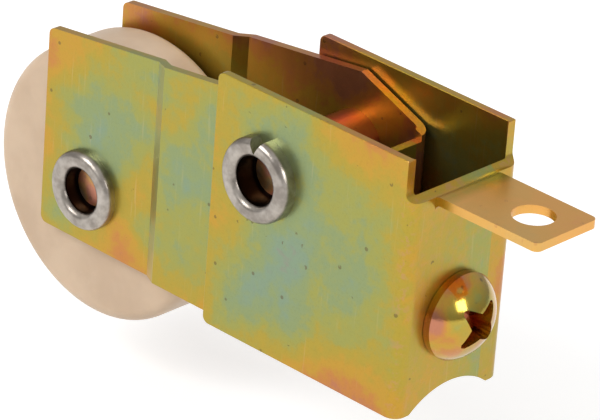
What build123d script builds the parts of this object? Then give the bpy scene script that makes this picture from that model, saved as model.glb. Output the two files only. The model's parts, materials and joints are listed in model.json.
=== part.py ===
from build123d import *
import os
from math import asin, pi, radians, tan

# Adjustable sliding door roller: sheet steel housing, tilting wheel carrier, ball bearing wheel.
# Millimetres, +Z up. The origin is the centre of the fixing hole on the top face of the tab.
# X runs along the door rail, from the wheel (-X) to the adjusting screw (+X), and Y runs across it.

# Housing
sheet = 1.05
tumbled_edge = 0.12
housing_length = 30.3
housing_width = 17.46
housing_height = 31.75
housing_bend = 1.6
open_corner = 0.9
tab_height = 26.95
tab_reach = 14.7
tab_width = 10.0
tab_corner = 0.8
tab_hole_radius = 2.5
tab_hole_reach = 9.75
tab_bend_inside = 0.7
shoulder_height = 26.8
shoulder_blend = 1.1
wall_end_gap = 0.15
notch_radius = 10.2
notch_rise = 2.3

# Pivot, carried by the housing
pivot_from_open_end = 7.9
pivot_height = 21.5
pivot_tube_radius = 3.4
pivot_bore_radius = 2.9
pivot_bore_depth = 3.4
pivot_flange_radius = 5.1
pivot_flange_rise = 1.9
pivot_split_width = 1.9
pivot_split_root = 0.5
spacer_wall = 0.5
rim_roundness = 0.42

# Carrier
side_play = 0.3
joggle_depth = 0.9
joggle_start = 19.9
joggle_run = 1.8
carrier_back = 29.6
carrier_front = 18.2
carrier_bottom = 0.5
carrier_back_top = 25.7
carrier_shoulder_from_front = 10.3
carrier_shoulder_top = 30.3
carrier_front_top = 26.4
carrier_web_top = 25.6
carrier_bend = 1.6
carrier_corner = 0.9

# Wheel and its bearing
wheel_radius = 17.0
wheel_width = 9.6
wheel_edge = 1.5
wheel_lip_radius = 6.6
wheel_lip_slope = 0.8
axle_from_open_end = -22.2
axle_height = 7.5
axle_radius = 3.6
axle_bore_radius = 2.75
axle_bore_depth = 2.4
axle_flange_radius = 4.9
axle_flange_rise = 1.4
ball_radius = 1.4
ball_pitch_radius = 6.5
race_half_width = 3.0
race_land = 0.55
outer_race_radius = 9.3
shield_thickness = 0.4
shield_inset = 0.1

# Adjusting screw and nut
screw_height = 10.8
screw_radius = 2.75
screw_length = 22.0
screw_plain_length = 3.2
thread_pitch = 1.06
thread_depth = 0.45
thread_flat = 0.2
head_radius = 5.3
head_rise = 4.1
head_rim = 0.9
recess_span = 6.9
recess_tip = 0.9
recess_waist = 3.0
recess_depth = 3.0
recess_taper = 12.0
recess_turn = 45.0
nut_across = 8.0
nut_thickness = 4.0
nut_crown_radius = 6.5
tilt_down = 15.0
tilt_up = 5.0
slot_margin = 0.5

# Clearances
shaft_play = 0.05
rivet_fit = 0.01
ball_play = 0.04
screw_hole_play = 0.4
head_gap = 0.05
crown_gap = 0.3
shield_gap = 0.3
groove_end_margin = 0.5

# Places worked out from the sizes
web_x = -tab_hole_reach
open_x = web_x - housing_length
floor_z = -tab_height
half_width = housing_width / 2
through_sheet = 2 * sheet
wall_end_x = web_x - sheet - wall_end_gap
shoulder_z = floor_z + shoulder_height
pivot_x = open_x + pivot_from_open_end
pivot_z = floor_z + pivot_height
axle_x = open_x + axle_from_open_end
axle_z = floor_z + axle_height
screw_z = floor_z + screw_height
carrier_back_x = open_x - carrier_back
carrier_front_x = open_x + carrier_front
carrier_outer_y = half_width - sheet - side_play
carrier_inner_y = carrier_outer_y - sheet
fork_outer_y = carrier_outer_y - joggle_depth
fork_inner_y = fork_outer_y - sheet
joggle_x = carrier_back_x + joggle_start - joggle_run
carrier_shoulder_x = carrier_front_x - carrier_shoulder_from_front
ball_count = int(pi / asin((ball_radius + ball_play) / ball_pitch_radius))
hub_radius = ball_pitch_radius - ball_radius - groove_end_margin
race_shoulder = ball_radius + groove_end_margin
shield_outer_y = race_half_width - shield_inset
shield_seat_radius = (outer_race_radius + ball_pitch_radius + race_land) / 2
head_x = web_x + head_gap
slot_drop = (carrier_front_x - pivot_x) * tan(radians(tilt_down)) + slot_margin
slot_rise = (carrier_front_x - pivot_x) * tan(radians(tilt_up)) + slot_margin

os.makedirs("parts", exist_ok=True)


def save(builder, name):
    builder.part.label = name
    export_step(builder.part, f"parts/{name}.step")


def across(x, y, z):
    """Plane at a point whose normal runs across the rail, towards -Y, with local x along +X."""
    return Plane(origin=(x, y, z), x_dir=(1, 0, 0), z_dir=(0, -1, 0))


def turning_section(x, z):
    """Plane through a cross axis at x, z, whose local x is the radius and local y runs along the axis."""
    return Plane(origin=(x, 0, z), x_dir=(1, 0, 0), z_dir=(0, 0, 1))


def folded_plan(back_x, front_x, half, bend, height):
    """Plan of a channel, closed at front_x: an outline with two bends, filled as a face."""
    with BuildSketch(Plane.XY.offset(height)) as plan:
        with Locations((back_x, 0)):
            Rectangle(front_x - back_x, 2 * half, align=(Align.MIN, Align.CENTER))
        fillet(plan.vertices().group_by(Axis.X)[-1], bend)
    return plan.sketch


# Housing: one sheet folded into a channel, its front web notched for the rail, with a tab bent outwards
with BuildPart() as housing:
    extrude(folded_plan(open_x, web_x, half_width, housing_bend, floor_z), amount=housing_height)
    inside = folded_plan(open_x, web_x - sheet, half_width - sheet, housing_bend - sheet, floor_z)
    extrude(inside, amount=housing_height, mode=Mode.SUBTRACT)
    # above its shoulders the web is cut away, and the walls end short of the fold
    with BuildSketch(across(0, half_width, 0)):
        with Locations((wall_end_x, shoulder_z)):
            Rectangle(housing_length, housing_height, align=(Align.MIN, Align.MIN))
        fillet(vertices().sort_by_distance((wall_end_x, half_width, shoulder_z))[0], shoulder_blend)
    extrude(amount=housing_width, mode=Mode.SUBTRACT)
    fillet(housing.edges().filter_by(Axis.Y).group_by(Axis.X)[0], open_corner)
    # tab: a straight sheet that leaves the web through a quarter bend
    with BuildSketch(across(0, tab_width / 2, 0)):
        with BuildLine():
            foot = (web_x - sheet, floor_z + tab_height - sheet - tab_bend_inside)
            Line(foot, (web_x, foot[1]))
            inner_bend = JernArc((web_x, foot[1]), (0, 1), tab_bend_inside, -90)
            Line(inner_bend @ 1, (web_x + tab_reach, -sheet))
            Line((web_x + tab_reach, -sheet), (web_x + tab_reach, 0))
            Line((web_x + tab_reach, 0), (web_x + tab_bend_inside, 0))
            JernArc((web_x + tab_bend_inside, 0), (-1, 0), tab_bend_inside + sheet, 90)
        make_face()
    extrude(amount=tab_width)
    fillet(housing.edges().filter_by(Axis.Z).group_by(Axis.X)[-1], tab_corner)
    with Locations((0, 0, 0)):
        Hole(tab_hole_radius)
    # rail notch, screw hole and pivot holes
    with BuildSketch(Plane.YZ.offset(web_x)):
        with Locations((0, floor_z + notch_rise - notch_radius)):
            Circle(notch_radius)
    extrude(amount=-through_sheet, mode=Mode.SUBTRACT)
    with Locations(Plane.YZ.offset(web_x)):
        with Locations((0, screw_z)):
            Hole(screw_radius + screw_hole_play, depth=through_sheet)
    with Locations(across(pivot_x, 0, pivot_z)):
        Hole(pivot_tube_radius + rivet_fit)
    # barrel plating tumbles the upper edges smooth
    fillet(housing.faces().group_by(Axis.Z)[-1].edges(), tumbled_edge)
save(housing, "housing")


# Carrier: a folded channel, closed towards the screw, its plates stepped in to a fork at the wheel
def carrier_plan(inset):
    """Half-plan corners of the channel, moved inwards by inset."""
    fork = fork_outer_y - inset
    body = carrier_outer_y - inset
    front = carrier_front_x - inset
    near = [(carrier_back_x, -fork), (joggle_x, -fork), (joggle_x + joggle_run, -body), (front, -body)]
    return near + [(x, -y) for x, y in reversed(near)]


def carrier_block(inset, bend):
    """Filled plan of the channel at its lower edge, moved inwards by inset, with its front bends rounded."""
    with BuildSketch(Plane.XY.offset(floor_z + carrier_bottom)) as plan:
        with BuildLine():
            Polyline(*carrier_plan(inset), close=True)
        make_face()
        fillet(plan.vertices().group_by(Axis.X)[-1], bend)
    return plan.sketch


with BuildPart() as carrier:
    extrude(carrier_block(0, carrier_bend), amount=housing_height)
    extrude(carrier_block(sheet, carrier_bend - sheet), amount=housing_height, mode=Mode.SUBTRACT)
    with BuildSketch(across(0, half_width, 0)):
        with BuildLine():
            Polyline(
                (carrier_back_x, floor_z + carrier_bottom),
                (carrier_front_x, floor_z + carrier_bottom),
                (carrier_front_x, floor_z + carrier_front_top),
                (carrier_shoulder_x, floor_z + carrier_shoulder_top),
                (carrier_back_x, floor_z + carrier_back_top),
                close=True,
            )
        make_face()
        fillet(vertices().group_by(Axis.X)[0], carrier_corner)
    extrude(amount=housing_width, mode=Mode.INTERSECT)
    # the fold is cut lower than the plates beside it
    with BuildSketch(Plane.XY.offset(floor_z + carrier_web_top)):
        with Locations((carrier_front_x, 0)):
            Rectangle(2 * through_sheet, 2 * (carrier_outer_y - carrier_bend))
    extrude(amount=housing_height, mode=Mode.SUBTRACT)
    with Locations(across(pivot_x, 0, pivot_z)):
        Hole(pivot_tube_radius + shaft_play)
    with Locations(across(axle_x, 0, axle_z)):
        Hole(axle_radius + rivet_fit)
    # upright slot that lets the plate lean on the screw
    with BuildSketch(Plane.YZ.offset(carrier_front_x)):
        with Locations((0, screw_z + (slot_rise - slot_drop) / 2)):
            SlotCenterToCenter(slot_rise + slot_drop, 2 * (screw_radius + screw_hole_play), rotation=90)
    extrude(amount=-through_sheet, mode=Mode.SUBTRACT)
save(carrier, "carrier")


# Rivets: turned about the rail's cross direction, a shank, a factory head behind and a rolled rim in front
def rivet_profile(shank, seat_y, rim, rim_rise, bore, bore_floor_y):
    """Half-section in radius and Y, for a rivet that clamps between -seat_y and +seat_y."""
    return [
        (0, seat_y + rim_rise),
        (rim, seat_y + rim_rise),
        (rim, seat_y),
        (shank, seat_y),
        (shank, -seat_y),
        (rim, -seat_y),
        (rim, -seat_y - rim_rise),
        (bore, -seat_y - rim_rise),
        (bore, bore_floor_y),
        (0, bore_floor_y),
    ]


with BuildPart() as pivot_rivet:
    with BuildSketch(turning_section(pivot_x, pivot_z)):
        with BuildLine():
            Polyline(
                *rivet_profile(pivot_tube_radius, half_width, pivot_flange_radius, pivot_flange_rise,
                               pivot_bore_radius, pivot_bore_depth - pivot_flange_rise - half_width),
                close=True,
            )
        make_face()
    revolve(axis=Axis((pivot_x, 0, pivot_z), (0, 1, 0)))
    fillet(pivot_rivet.edges().filter_by(GeomType.CIRCLE).group_by(Axis.Y)[0],
           rim_roundness * (pivot_flange_radius - pivot_bore_radius))
    fillet(pivot_rivet.edges().filter_by(GeomType.CIRCLE).group_by(Axis.Y)[-1], rim_roundness * pivot_flange_rise)
    # the rolled rim has split at the top
    with BuildSketch(across(pivot_x, -half_width, pivot_z)):
        with BuildLine():
            Polyline(
                (-pivot_split_width / 2, pivot_flange_radius),
                (0, pivot_bore_radius + pivot_split_root),
                (pivot_split_width / 2, pivot_flange_radius),
                close=True,
            )
        make_face()
    extrude(amount=2 * pivot_flange_rise, mode=Mode.SUBTRACT)
save(pivot_rivet, "pivot_rivet")

with BuildPart() as axle_rivet:
    with BuildSketch(turning_section(axle_x, axle_z)):
        with BuildLine():
            Polyline(
                *rivet_profile(axle_radius, fork_outer_y, axle_flange_radius, axle_flange_rise,
                               axle_bore_radius, axle_bore_depth - axle_flange_rise - fork_outer_y),
                close=True,
            )
        make_face()
    revolve(axis=Axis((axle_x, 0, axle_z), (0, 1, 0)))
    fillet(axle_rivet.edges().filter_by(GeomType.CIRCLE).group_by(Axis.Y)[0],
           rim_roundness * (axle_flange_radius - axle_bore_radius))
    fillet(axle_rivet.edges().filter_by(GeomType.CIRCLE).group_by(Axis.Y)[-1], rim_roundness * axle_flange_rise)
save(axle_rivet, "axle_rivet")

# Spacer tube that keeps the carrier's plates apart at the pivot
with BuildPart() as pivot_spacer:
    with BuildSketch(across(pivot_x, carrier_inner_y, pivot_z)):
        Circle(pivot_tube_radius + shaft_play + spacer_wall)
        Circle(pivot_tube_radius + shaft_play, mode=Mode.SUBTRACT)
    extrude(amount=2 * carrier_inner_y)
save(pivot_spacer, "pivot_spacer")

# Bearing and wheel: rings turned about the axle
axle_section = turning_section(axle_x, axle_z)
axle_axis = Axis((axle_x, 0, axle_z), (0, 1, 0))

with BuildPart() as inner_race:
    with BuildSketch(axle_section):
        with Locations(((axle_radius + shaft_play + hub_radius) / 2, 0)):
            Rectangle(hub_radius - axle_radius - shaft_play, 2 * fork_inner_y)
        with Locations((axle_radius + shaft_play, 0)):
            Rectangle(ball_pitch_radius - race_land - axle_radius - shaft_play, 2 * race_shoulder,
                      align=(Align.MIN, Align.CENTER))
        with Locations((ball_pitch_radius, 0)):
            Circle(ball_radius + ball_play, mode=Mode.SUBTRACT)
    revolve(axis=axle_axis)
save(inner_race, "inner_race")

with BuildPart() as outer_race:
    with BuildSketch(axle_section):
        with Locations((outer_race_radius, 0)):
            Rectangle(outer_race_radius - ball_pitch_radius - race_land, 2 * race_half_width,
                      align=(Align.MAX, Align.CENTER))
            Rectangle(outer_race_radius - shield_seat_radius, 2 * race_half_width,
                      align=(Align.MAX, Align.CENTER))
        with Locations((ball_pitch_radius, 0)):
            Circle(ball_radius + ball_play, mode=Mode.SUBTRACT)
        for side in (-1, 1):
            with Locations((0, side * (shield_outer_y - shield_thickness / 2))):
                Rectangle(2 * shield_seat_radius, shield_thickness, mode=Mode.SUBTRACT)
            with Locations((0, side * race_half_width)):
                Rectangle(2 * shield_seat_radius, 2 * shield_inset, mode=Mode.SUBTRACT)
    revolve(axis=axle_axis)
save(outer_race, "outer_race")

for side, shield_name in ((-1, "bearing_shield_near"), (1, "bearing_shield_far")):
    with BuildPart() as shield:
        with BuildSketch(axle_section):
            with Locations((hub_radius + shield_gap, side * (shield_outer_y - shield_thickness / 2))):
                Rectangle(shield_seat_radius - hub_radius - shield_gap, shield_thickness,
                          align=(Align.MIN, Align.CENTER))
        revolve(axis=axle_axis)
    save(shield, shield_name)

for index in range(ball_count):
    with BuildPart() as ball:
        with Locations(across(axle_x, 0, axle_z)):
            with PolarLocations(ball_pitch_radius, 1, start_angle=360 * index / ball_count):
                Sphere(ball_radius)
    save(ball, f"ball_{index + 1:02d}")

with BuildPart() as wheel_tyre:
    with BuildSketch(axle_section) as tyre_section:
        with BuildLine():
            Polyline(
                (outer_race_radius, -race_half_width),
                (wheel_lip_radius, -race_half_width),
                (wheel_lip_radius + wheel_lip_slope, -wheel_width / 2),
                (wheel_radius, -wheel_width / 2),
                (wheel_radius, wheel_width / 2),
                (wheel_lip_radius + wheel_lip_slope, wheel_width / 2),
                (wheel_lip_radius, race_half_width),
                (outer_race_radius, race_half_width),
                close=True,
            )
        make_face()
        fillet(tyre_section.vertices().group_by(Axis.X)[-1], wheel_edge)
    revolve(axis=axle_axis)
save(wheel_tyre, "wheel_tyre")

# Adjusting screw: threaded shank, domed head and cross recess
with BuildPart() as adjusting_screw:
    tip_x = head_x - screw_length
    thread_count = int((screw_length - screw_plain_length) / thread_pitch)
    crest = screw_z + screw_radius
    root = crest - thread_depth
    outline = [(tip_x, screw_z)]
    for turn in range(thread_count):
        root_x = tip_x + turn * thread_pitch
        crest_x = root_x + thread_pitch / 2
        outline += [(root_x, root), (crest_x - thread_flat / 2, crest), (crest_x + thread_flat / 2, crest)]
    thread_end_x = tip_x + thread_count * thread_pitch
    outline += [(thread_end_x, root), (thread_end_x + thread_pitch / 2, crest), (head_x, crest)]
    dome = head_rise - head_rim
    dome_radius = (head_radius ** 2 + dome ** 2) / (2 * dome)
    with BuildSketch(across(0, 0, 0)):
        with BuildLine():
            Polyline(*outline)
            Line((head_x, crest), (head_x, screw_z + head_radius))
            Line((head_x, screw_z + head_radius), (head_x + head_rim, screw_z + head_radius))
            RadiusArc((head_x + head_rim, screw_z + head_radius), (head_x + head_rise, screw_z), dome_radius)
            Line((head_x + head_rise, screw_z), (tip_x, screw_z))
        make_face()
    revolve(axis=Axis((0, 0, screw_z), (1, 0, 0)))
    with BuildSketch(Plane(origin=(head_x + head_rise, 0, screw_z), x_dir=(0, 1, 0), z_dir=(1, 0, 0))):
        for quarter in (0, 90):
            with BuildLine(Plane.XY.rotated((0, 0, recess_turn + quarter))):
                Polyline(
                    (-recess_span / 2, -recess_tip / 2),
                    (0, -recess_waist / 2),
                    (recess_span / 2, -recess_tip / 2),
                    (recess_span / 2, recess_tip / 2),
                    (0, recess_waist / 2),
                    (-recess_span / 2, recess_tip / 2),
                    close=True,
                )
            make_face()
    extrude(amount=-recess_depth, taper=recess_taper, mode=Mode.SUBTRACT)
save(adjusting_screw, "adjusting_screw")

# Nut: square, with a crowned face that rolls on the leaning carrier web
with BuildPart() as adjusting_nut:
    crown_x = carrier_front_x - sheet - crown_gap
    with BuildSketch(across(0, nut_across / 2, 0)):
        with Locations((crown_x - nut_thickness / 2, screw_z)):
            Rectangle(nut_thickness, nut_across)
        with Locations((crown_x - nut_crown_radius, screw_z)):
            Circle(nut_crown_radius, mode=Mode.INTERSECT)
    extrude(amount=nut_across)
    with Locations(Plane.YZ.offset(crown_x)):
        with Locations((0, screw_z)):
            Hole(screw_radius + shaft_play)
save(adjusting_nut, "adjusting_nut")
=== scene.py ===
"""Sliding door roller: finishes, floor, light and camera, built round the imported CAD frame. Metres."""
import json
import math

import bpy
from mathutils import Matrix, Vector


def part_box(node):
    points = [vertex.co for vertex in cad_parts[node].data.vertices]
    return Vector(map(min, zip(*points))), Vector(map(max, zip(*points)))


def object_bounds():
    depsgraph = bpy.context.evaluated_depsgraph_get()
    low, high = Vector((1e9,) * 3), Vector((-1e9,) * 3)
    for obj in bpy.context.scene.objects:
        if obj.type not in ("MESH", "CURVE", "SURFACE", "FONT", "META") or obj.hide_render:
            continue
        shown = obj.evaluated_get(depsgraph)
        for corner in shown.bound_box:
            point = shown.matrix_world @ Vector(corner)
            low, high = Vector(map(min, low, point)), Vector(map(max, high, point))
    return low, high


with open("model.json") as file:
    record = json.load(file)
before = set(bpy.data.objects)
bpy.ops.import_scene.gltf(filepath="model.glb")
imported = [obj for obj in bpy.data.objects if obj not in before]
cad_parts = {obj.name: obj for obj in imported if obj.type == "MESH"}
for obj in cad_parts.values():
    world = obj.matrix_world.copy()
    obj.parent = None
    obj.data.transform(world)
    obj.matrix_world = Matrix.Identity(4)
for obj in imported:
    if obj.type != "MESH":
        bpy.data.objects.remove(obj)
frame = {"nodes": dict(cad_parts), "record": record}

cad_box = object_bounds()
nodes = frame["nodes"]
MM = 0.001


# --- Housing ---------------------------------------------------------------------------------------
# One sheet of steel, blanked, notched and folded, then barrel plated with zinc and passivated in
# dichromate. The film's thickness drifts over each face, so its colour runs from gold to green.

def srgb(red, green, blue):
    """Linear colour for a finish matched as display values from 0 to 255."""
    def linear(value):
        part = value / 255
        return part / 12.92 if part <= 0.04045 else ((part + 0.055) / 1.055) ** 2.4
    return (linear(red), linear(green), linear(blue), 1.0)


def new_group(name, inputs, outputs):
    group = bpy.data.node_groups.new(name, "ShaderNodeTree")
    for socket_name, socket_type, default in inputs:
        socket = group.interface.new_socket(socket_name, in_out="INPUT", socket_type=socket_type)
        if default is not None:
            socket.default_value = default
    for socket_name, socket_type in outputs:
        group.interface.new_socket(socket_name, in_out="OUTPUT", socket_type=socket_type)
    entry = group.nodes.new("NodeGroupInput")
    leave = group.nodes.new("NodeGroupOutput")
    return group, entry, leave


def add_noise(tree, scale, detail=3.0, roughness=0.55, distortion=0.0):
    noise = tree.nodes.new("ShaderNodeTexNoise")
    noise.inputs["Scale"].default_value = scale
    noise.inputs["Detail"].default_value = detail
    noise.inputs["Roughness"].default_value = roughness
    noise.inputs["Distortion"].default_value = distortion
    return noise


def add_math(tree, operation, first, second=None, clamp=False):
    node = tree.nodes.new("ShaderNodeMath")
    node.operation = operation
    node.use_clamp = clamp
    for index, value in enumerate((first, second)):
        if value is None:
            continue
        if isinstance(value, (int, float)):
            node.inputs[index].default_value = value
        else:
            tree.links.new(value, node.inputs[index])
    return node.outputs[0]


def add_mix(tree, factor, first, second, blend="MIX"):
    node = tree.nodes.new("ShaderNodeMix")
    node.data_type = "RGBA"
    node.blend_type = blend
    for socket_name, value in (("Factor", factor), ("A", first), ("B", second)):
        socket = node.inputs[socket_name]
        if isinstance(value, (int, float, tuple)):
            socket.default_value = value
        else:
            tree.links.new(value, socket)
    return node.outputs["Result"]


def add_ramp(tree, factor, stops, mode="EASE"):
    node = tree.nodes.new("ShaderNodeValToRGB")
    node.color_ramp.interpolation = mode
    elements = node.color_ramp.elements
    while len(elements) < len(stops):
        elements.new(0.5)
    for element, (position, colour) in zip(elements, stops):
        element.position = position
        element.color = colour
    tree.links.new(factor, node.inputs["Fac"])
    return node.outputs["Color"]


FILM_COLOURS = [
    (0.00, srgb(178, 114, 86)),
    (0.13, srgb(188, 126, 64)),
    (0.27, srgb(186, 144, 52)),
    (0.43, srgb(170, 148, 56)),
    (0.57, srgb(152, 151, 78)),
    (0.71, srgb(136, 149, 102)),
    (0.86, srgb(128, 148, 122)),
    (1.00, srgb(144, 129, 124)),
]


def make_film_group():
    """Dichromate film: colour from its thickness, with streaks, fine speckle and a little relief."""
    patch_gain = 2.4
    ripple_gain = 0.36
    pit_radius = 0.11
    pit_darkness = 0.6
    group, entry, leave = new_group(
        "dichromate_film",
        [("Vector", "NodeSocketVector", None), ("Thickness", "NodeSocketFloat", 0.5),
         ("Patchiness", "NodeSocketFloat", 0.5), ("Patch Scale", "NodeSocketFloat", 90.0)],
        [("Color", "NodeSocketColor"), ("Roughness", "NodeSocketFloat"), ("Height", "NodeSocketFloat")],
    )
    patches = add_noise(group, 90.0, detail=2.0, roughness=0.42, distortion=0.35)
    group.links.new(entry.outputs["Vector"], patches.inputs["Vector"])
    group.links.new(entry.outputs["Patch Scale"], patches.inputs["Scale"])
    cloud = add_noise(group, 700.0, detail=4.0, roughness=0.6)
    group.links.new(entry.outputs["Vector"], cloud.inputs["Vector"])
    grain = add_noise(group, 4200.0, detail=2.0)
    group.links.new(entry.outputs["Vector"], grain.inputs["Vector"])
    swing = add_math(group, "MULTIPLY", add_math(group, "SUBTRACT", patches.outputs["Fac"], 0.5),
                     entry.outputs["Patchiness"])
    swing = add_math(group, "MULTIPLY", swing, patch_gain)
    ripple = add_math(group, "SUBTRACT", cloud.outputs["Fac"], 0.5)
    ripple = add_math(group, "MULTIPLY", ripple, ripple_gain)
    thickness = add_math(group, "ADD", entry.outputs["Thickness"], swing)
    thickness = add_math(group, "ADD", thickness, ripple, clamp=True)
    film = add_ramp(group, thickness, FILM_COLOURS)
    speckle = add_ramp(group, grain.outputs["Fac"], [(0.3, (0.9, 0.89, 0.87, 1)), (0.5, (1, 1, 1, 1))])
    film = add_mix(group, 0.5, film, speckle, "MULTIPLY")
    # faint streaks along the way the sheet was drawn
    drawn = group.nodes.new("ShaderNodeMapping")
    drawn.inputs["Scale"].default_value = (1.0, 1.0, 0.06)
    group.links.new(entry.outputs["Vector"], drawn.inputs["Vector"])
    streaks = add_noise(group, 2400.0, detail=2.0, roughness=0.5)
    group.links.new(drawn.outputs[0], streaks.inputs["Vector"])
    streak = add_ramp(group, streaks.outputs["Fac"], [(0.62, (0, 0, 0, 1)), (0.78, (0.16, 0.16, 0.16, 1))])
    film = add_mix(group, streak, film, srgb(206, 182, 140))
    # scattered dark pits
    pits = group.nodes.new("ShaderNodeTexVoronoi")
    pits.inputs["Scale"].default_value = 420.0
    group.links.new(entry.outputs["Vector"], pits.inputs["Vector"])
    pit = add_math(group, "LESS_THAN", pits.outputs["Distance"], pit_radius)
    pit = add_math(group, "MULTIPLY", pit, add_math(group, "GREATER_THAN", cloud.outputs["Fac"], 0.5))
    film = add_mix(group, add_math(group, "MULTIPLY", pit, pit_darkness), film, srgb(96, 78, 50))
    group.links.new(film, leave.inputs["Color"])
    rough = add_math(group, "ADD", add_math(group, "MULTIPLY", cloud.outputs["Fac"], 0.16), 0.24)
    group.links.new(rough, leave.inputs["Roughness"])
    relief = add_math(group, "ADD", add_math(group, "MULTIPLY", cloud.outputs["Fac"], 0.6),
                      add_math(group, "MULTIPLY", grain.outputs["Fac"], 0.25))
    group.links.new(relief, leave.inputs["Height"])
    return group


film_group = make_film_group()


def new_material(name, roughness=0.4, metallic=0.0):
    material = bpy.data.materials.new(name)
    material.use_nodes = True
    tree = material.node_tree
    shader = tree.nodes["Principled BSDF"]
    shader.inputs["Roughness"].default_value = roughness
    shader.inputs["Metallic"].default_value = metallic
    place = tree.nodes.new("ShaderNodeTexCoord")
    return material, tree, shader, place.outputs["Object"]


def add_bump(tree, shader, height, distance, strength=1.0):
    bump = tree.nodes.new("ShaderNodeBump")
    bump.inputs["Distance"].default_value = distance
    bump.inputs["Strength"].default_value = strength
    tree.links.new(height, bump.inputs["Height"])
    tree.links.new(bump.outputs["Normal"], shader.inputs["Normal"])


def add_film(tree, shader, vector, thickness, patchiness, patch_scale, relief=0.00003):
    film = tree.nodes.new("ShaderNodeGroup")
    film.node_tree = film_group
    film.inputs["Patchiness"].default_value = patchiness
    film.inputs["Patch Scale"].default_value = patch_scale
    tree.links.new(vector, film.inputs["Vector"])
    if isinstance(thickness, float):
        film.inputs["Thickness"].default_value = thickness
    else:
        tree.links.new(thickness, film.inputs["Thickness"])
    tree.links.new(film.outputs["Roughness"], shader.inputs["Roughness"])
    add_bump(tree, shader, film.outputs["Height"], relief)
    return film.outputs["Color"]


def across_face(tree, vector, low, high, drop):
    """Film thins by drop towards the ends and the top and bottom edges of an upright plate."""
    split = tree.nodes.new("ShaderNodeSeparateXYZ")
    tree.links.new(vector, split.inputs[0])
    nearest = None
    for axis, reach in ((0, 7 * MM), (2, 6 * MM)):
        middle = (low[axis] + high[axis]) / 2
        half = (high[axis] - low[axis]) / 2
        off = add_math(tree, "ABSOLUTE", add_math(tree, "SUBTRACT", split.outputs[axis], middle))
        inwards = add_math(tree, "DIVIDE", add_math(tree, "SUBTRACT", half, off), reach, clamp=True)
        nearest = inwards if nearest is None else add_math(tree, "MINIMUM", nearest, inwards)
    return add_math(tree, "MULTIPLY", add_math(tree, "SUBTRACT", nearest, 1.0), drop)


def paint(node_name, material):
    for slot in nodes[node_name].material_slots:
        slot.material = material
    if not nodes[node_name].material_slots:
        nodes[node_name].data.materials.append(material)


def plated_sheet(name, node_name, fold_x, middle, edge_drop, far_drop, patchiness, patch_scale):
    """Plated film on a folded channel whose closed end has its outside at fold_x."""
    far_side_from = 5 * MM
    tab_start_x = fold_x + 1.2 * MM
    tab_blend = 1.5 * MM
    tab_orange_and_painted_light = 0.55
    worn_x = fold_x - 0.8 * MM
    worn_reach = 1.3 * MM
    material, tree, shader, vector = new_material(name, metallic=0.92)
    low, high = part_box(node_name)
    high = (min(high[0], fold_x), high[1], high[2])
    edge = across_face(tree, vector, low, high, edge_drop)
    split = tree.nodes.new("ShaderNodeSeparateXYZ")
    tree.links.new(vector, split.inputs[0])
    # plates on the far side of the rail get a thinner, more golden film: partly their own gold colour,
    # partly painted light lifting the inner faces that sit in shade behind the near plates
    far_side = add_math(tree, "GREATER_THAN", split.outputs["Y"], far_side_from)
    far_side = add_math(tree, "MULTIPLY", far_side, far_drop)
    thickness = add_math(tree, "SUBTRACT", add_math(tree, "ADD", edge, middle), far_side)
    colour = add_film(tree, shader, vector, thickness, patchiness, patch_scale)
    # the tab is mixed towards a bright orange: partly its own orange film, partly painted light standing in
    # for the light from above on its top face
    past_fold = add_math(tree, "SUBTRACT", split.outputs["X"], tab_start_x)
    on_tab = add_math(tree, "DIVIDE", past_fold, tab_blend, clamp=True)
    colour = add_mix(tree, add_math(tree, "MULTIPLY", on_tab, tab_orange_and_painted_light), colour, srgb(246, 178, 104))
    # the outside of the fold is rubbed through to a paler, pinkish film
    from_fold = add_math(tree, "ABSOLUTE", add_math(tree, "SUBTRACT", split.outputs["X"], worn_x))
    near_fold = add_math(tree, "DIVIDE", from_fold, worn_reach)
    near_fold = add_math(tree, "SUBTRACT", 1.0, near_fold, clamp=True)
    rubbing = add_noise(tree, 1100.0, detail=4.0, roughness=0.65)
    tree.links.new(vector, rubbing.inputs["Vector"])
    rubbed = add_ramp(tree, rubbing.outputs["Fac"], [(0.5, (0, 0, 0, 1)), (0.64, (0.5, 0.5, 0.5, 1))])
    worn = add_mix(tree, add_math(tree, "MULTIPLY", near_fold, rubbed), colour, srgb(184, 136, 100))
    tree.links.new(worn, shader.inputs["Base Color"])
    shader.inputs["Coat Weight"].default_value = 0.1
    shader.inputs["Coat Roughness"].default_value = 0.12
    paint(node_name, material)


joints = {joint["name"]: joint for joint in frame["record"]["behaviour"]["joints"]}
web_face_x = joints["screw_turn"]["pos_m"][0]
plated_sheet("housing_dichromate", "housing", web_face_x,
             middle=0.68, edge_drop=0.3, far_drop=0.2, patchiness=0.46, patch_scale=76.0)


# --- Pivot rivet and spacer -------------------------------------------------------------------------
# A bright zinc tubular rivet through both channels, rolled over at the near side. The spacer tube
# round it keeps its copper-coloured passivation.

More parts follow.
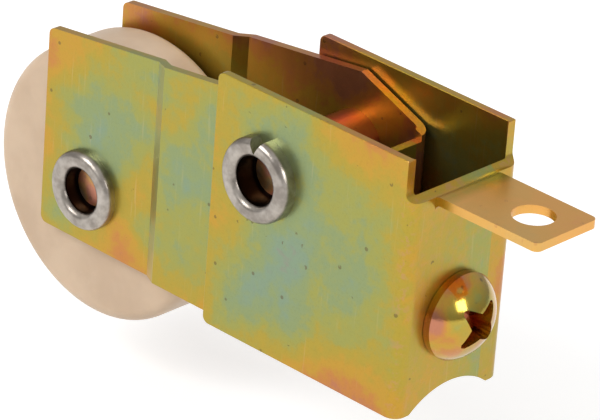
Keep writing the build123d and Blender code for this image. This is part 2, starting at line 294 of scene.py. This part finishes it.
def rivet_zinc_and_painted_bore_shade(name, node_name, bore_radius, bore_depth):
    """Bright zinc, with painted shade (a near-black wall) in the near bore and a coloured disc on its
    floor.
    """
    floor_skin = 0.05 * MM
    disc_margin = 0.4 * MM
    material, tree, shader, vector = new_material(name, metallic=1.0)
    low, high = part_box(node_name)
    split = tree.nodes.new("ShaderNodeSeparateXYZ")
    tree.links.new(vector, split.inputs[0])
    across_x = add_math(tree, "SUBTRACT", split.outputs["X"], (low[0] + high[0]) / 2)
    across_z = add_math(tree, "SUBTRACT", split.outputs["Z"], (low[2] + high[2]) / 2)
    radius = add_math(tree, "SQRT", add_math(tree, "ADD", add_math(tree, "MULTIPLY", across_x, across_x),
                                             add_math(tree, "MULTIPLY", across_z, across_z)))
    inside = add_math(tree, "LESS_THAN", radius, bore_radius)
    near_end = add_math(tree, "LESS_THAN", split.outputs["Y"], 0.0)
    inside = add_math(tree, "MULTIPLY", inside, near_end)
    film = add_film(tree, shader, vector, 0.35, 1.3, 380.0, relief=0.00004)
    floor_y = low[1] + bore_depth - floor_skin
    on_floor = add_math(tree, "GREATER_THAN", split.outputs["Y"], floor_y)
    on_disc = add_math(tree, "LESS_THAN", radius, bore_radius - disc_margin)
    on_floor = add_math(tree, "MULTIPLY", on_floor, on_disc)
    film = add_mix(tree, 0.4, film, srgb(226, 160, 140))
    # painted shade: the bore wall is painted near black, standing in for the shade and dark reflections in
    # the hole; the disc on its floor keeps the film colour
    film = add_mix(tree, on_floor, srgb(44, 30, 24), film)
    smear = add_noise(tree, 500.0, detail=3.0, roughness=0.6)
    tree.links.new(vector, smear.inputs["Vector"])
    bright = add_ramp(tree, smear.outputs["Fac"], [(0.3, srgb(138, 130, 122)), (0.7, srgb(180, 172, 163))])
    tree.links.new(add_mix(tree, inside, bright, film), shader.inputs["Base Color"])
    paint(node_name, material)


rivet_zinc_and_painted_bore_shade("pivot_rivet_zinc", "pivot_rivet", bore_radius=2.95 * MM, bore_depth=3.4 * MM)

spacer_metal, spacer_tree, spacer_shader, spacer_place = new_material("spacer_copper", metallic=0.9)
spacer_film = add_film(spacer_tree, spacer_shader, spacer_place, 0.08, 0.25, 200.0)
warm = add_mix(spacer_tree, 0.7, spacer_film, srgb(150, 70, 42))
spacer_tree.links.new(warm, spacer_shader.inputs["Base Color"])
paint("pivot_spacer", spacer_metal)


# --- Carrier ---------------------------------------------------------------------------------------
# The inner folded channel, from the same plated sheet, stepped in to a fork that holds the wheel.
# Its far plate is given a more golden film than its near one, which runs to green in the middle; part of
# that lift is painted light on its shaded inner face.

plated_sheet("carrier_dichromate", "carrier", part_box("carrier")[1][0],
             middle=0.62, edge_drop=0.28, far_drop=0.36, patchiness=0.55, patch_scale=84.0)


# --- Wheel, bearing and axle rivet -------------------------------------------------------------------
# Natural nylon moulded round a pressed ball bearing, turning on a semi-tubular rivet.
# The rivet has the same bright zinc, and the same painted shade in its shallow bore, as the pivot's.

nylon, nylon_tree, nylon_shader, nylon_place = new_material("natural_nylon", roughness=0.42)
mottle = add_noise(nylon_tree, 160.0, detail=3.0)
nylon_tree.links.new(nylon_place, mottle.inputs["Vector"])
pitting = add_noise(nylon_tree, 2600.0, detail=2.0)
nylon_tree.links.new(nylon_place, pitting.inputs["Vector"])
nylon_stops = [(0.3, srgb(196, 169, 141)), (0.7, srgb(208, 182, 154))]
nylon_colour = add_ramp(nylon_tree, mottle.outputs["Fac"], nylon_stops)
nylon_tree.links.new(nylon_colour, nylon_shader.inputs["Base Color"])
nylon_shader.inputs["Subsurface Weight"].default_value = 0.2
nylon_shader.inputs["Subsurface Radius"].default_value = (1.0, 0.7, 0.45)
nylon_shader.inputs["Subsurface Scale"].default_value = 2.0 * MM
add_bump(nylon_tree, nylon_shader, pitting.outputs["Fac"], 0.00002)
paint("wheel_tyre", nylon)

rivet_zinc_and_painted_bore_shade("axle_rivet_zinc", "axle_rivet", bore_radius=2.78 * MM, bore_depth=2.4 * MM)

race_steel, race_tree, race_shader, race_place = new_material("bearing_steel", roughness=0.18, metallic=1.0)
lapping = add_noise(race_tree, 1500.0, detail=3.0)
race_tree.links.new(race_place, lapping.inputs["Vector"])
race_stops = [(0.3, srgb(186, 186, 190)), (0.7, srgb(214, 214, 216))]
race_colour = add_ramp(race_tree, lapping.outputs["Fac"], race_stops)
race_tree.links.new(race_colour, race_shader.inputs["Base Color"])
add_bump(race_tree, race_shader, lapping.outputs["Fac"], 0.00001)
for node_name in nodes:
    if node_name.startswith("ball_") or node_name in ("inner_race", "outer_race") or "shield" in node_name:
        paint(node_name, race_steel)


# --- Adjusting screw and nut -------------------------------------------------------------------------
# Cold-headed screw with a cross recess, glossy gold passivation, and the square nut it pulls.
# The film is the sheet's, thinner, and smooth enough to mirror the soft boxes.

screw_metal, screw_tree, screw_shader, screw_place = new_material("screw_dichromate", metallic=1.0)
screw_film = add_film(screw_tree, screw_shader, screw_place, 0.24, 0.5, 260.0, relief=0.00002)
screw_tree.links.new(screw_film, screw_shader.inputs["Base Color"])
gloss = add_noise(screw_tree, 900.0)
screw_tree.links.new(screw_place, gloss.inputs["Vector"])
screw_gloss = add_math(screw_tree, "MULTIPLY", gloss.outputs["Fac"], 0.1)
screw_gloss = add_math(screw_tree, "ADD", screw_gloss, 0.1)
screw_tree.links.new(screw_gloss, screw_shader.inputs["Roughness"])
screw_shader.inputs["Coat Weight"].default_value = 0.4
screw_shader.inputs["Coat Roughness"].default_value = 0.06
paint("adjusting_screw", screw_metal)
paint("adjusting_nut", screw_metal)


# --- Floor, light and camera ---------------------------------------------------------------------------
# A plain pale floor under the wheel's lowest reach, soft daylight all round and two soft boxes.
# The camera looks from the near side and the screw's end, a little above the tab.

low, high = cad_box
floor_mesh = bpy.data.meshes.new("floor")
floor_reach = 3.0
tilt_joint = joints["carrier_tilt"]
lever = math.dist(tilt_joint["pos_m"], joints["wheel_spin"]["pos_m"])
floor_z = low[2] - lever * math.sin(math.radians(max(tilt_joint["range_deg"])))
floor_signs = ((-1, -1), (1, -1), (1, 1), (-1, 1))
floor_corners = [(x * floor_reach, y * floor_reach, floor_z) for x, y in floor_signs]
floor_mesh.from_pydata(floor_corners, [], [(0, 1, 2, 3)])
floor = bpy.data.objects.new("floor", floor_mesh)
bpy.context.collection.objects.link(floor)
floor_paint, floor_tree, floor_shader, floor_place = new_material("floor_white", roughness=0.9)
floor_shader.inputs["Base Color"].default_value = (0.9, 0.9, 0.9, 1)
floor_shader.inputs["Specular IOR Level"].default_value = 0.0
rays = floor_tree.nodes.new("ShaderNodeLightPath")
seen = add_math(floor_tree, "MAXIMUM", rays.outputs["Is Camera Ray"], rays.outputs["Is Glossy Ray"])
floor_shader.inputs["Emission Color"].default_value = (1, 1, 1, 1)
floor_glow = add_math(floor_tree, "MULTIPLY", seen, 0.32)
floor_tree.links.new(floor_glow, floor_shader.inputs["Emission Strength"])
floor_mesh.materials.append(floor_paint)

world = bpy.data.worlds.new("studio")
bpy.context.scene.world = world
world.use_nodes = True
sky = world.node_tree
background = sky.nodes["Background"]
direction = sky.nodes.new("ShaderNodeTexCoord")
sky_split = sky.nodes.new("ShaderNodeSeparateXYZ")
sky.links.new(direction.outputs["Generated"], sky_split.inputs[0])
sky_height = add_math(sky, "ADD", add_math(sky, "MULTIPLY", sky_split.outputs["Z"], 0.5), 0.5)
sky.links.new(add_ramp(sky, sky_height, [(0.4, (0.5, 0.5, 0.5, 1)), (0.8, (0.95, 0.95, 0.95, 1))]),
              background.inputs["Color"])
background.inputs["Strength"].default_value = 0.72


def soft_box(name, place, aim, width, power):
    lamp = bpy.data.lights.new(name, "AREA")
    lamp.shape = "RECTANGLE"
    lamp.size = width
    lamp.size_y = width
    lamp.energy = power
    holder = bpy.data.objects.new(name, lamp)
    holder.location = place
    holder.rotation_euler = (Vector(aim) - Vector(place)).to_track_quat("-Z", "Y").to_euler()
    bpy.context.collection.objects.link(holder)


centre = [(a + b) / 2 for a, b in zip(low, high)]
soft_box("key", (-0.25, -0.55, 0.45), centre, 0.3, 2.4)
soft_box("side", (0.6, -0.05, 0.3), centre, 0.25, 1.4)

turn = math.radians(42.2)
tilt = math.radians(26.6)
roll = math.radians(4.36)
distance = 0.5331
aim = Vector((-35.97, 2.03, -14.38)) * MM
outward = Vector((math.sin(turn) * math.cos(tilt), -math.cos(turn) * math.cos(tilt), math.sin(tilt)))
right = Vector((math.cos(turn), math.sin(turn), 0))
up = outward.cross(right)
camera_data = bpy.data.cameras.new("camera")
camera_data.sensor_width = 36
camera_data.lens = 279.2
camera_data.clip_start = 0.01
camera = bpy.data.objects.new("camera", camera_data)
axes = Matrix((right, up, outward)).transposed().to_4x4()
camera.matrix_world = Matrix.Translation(aim + outward * distance) @ axes @ Matrix.Rotation(roll, 4, "Z")
bpy.context.collection.objects.link(camera)
bpy.context.scene.camera = camera
bpy.context.scene.view_settings.view_transform = "Standard"
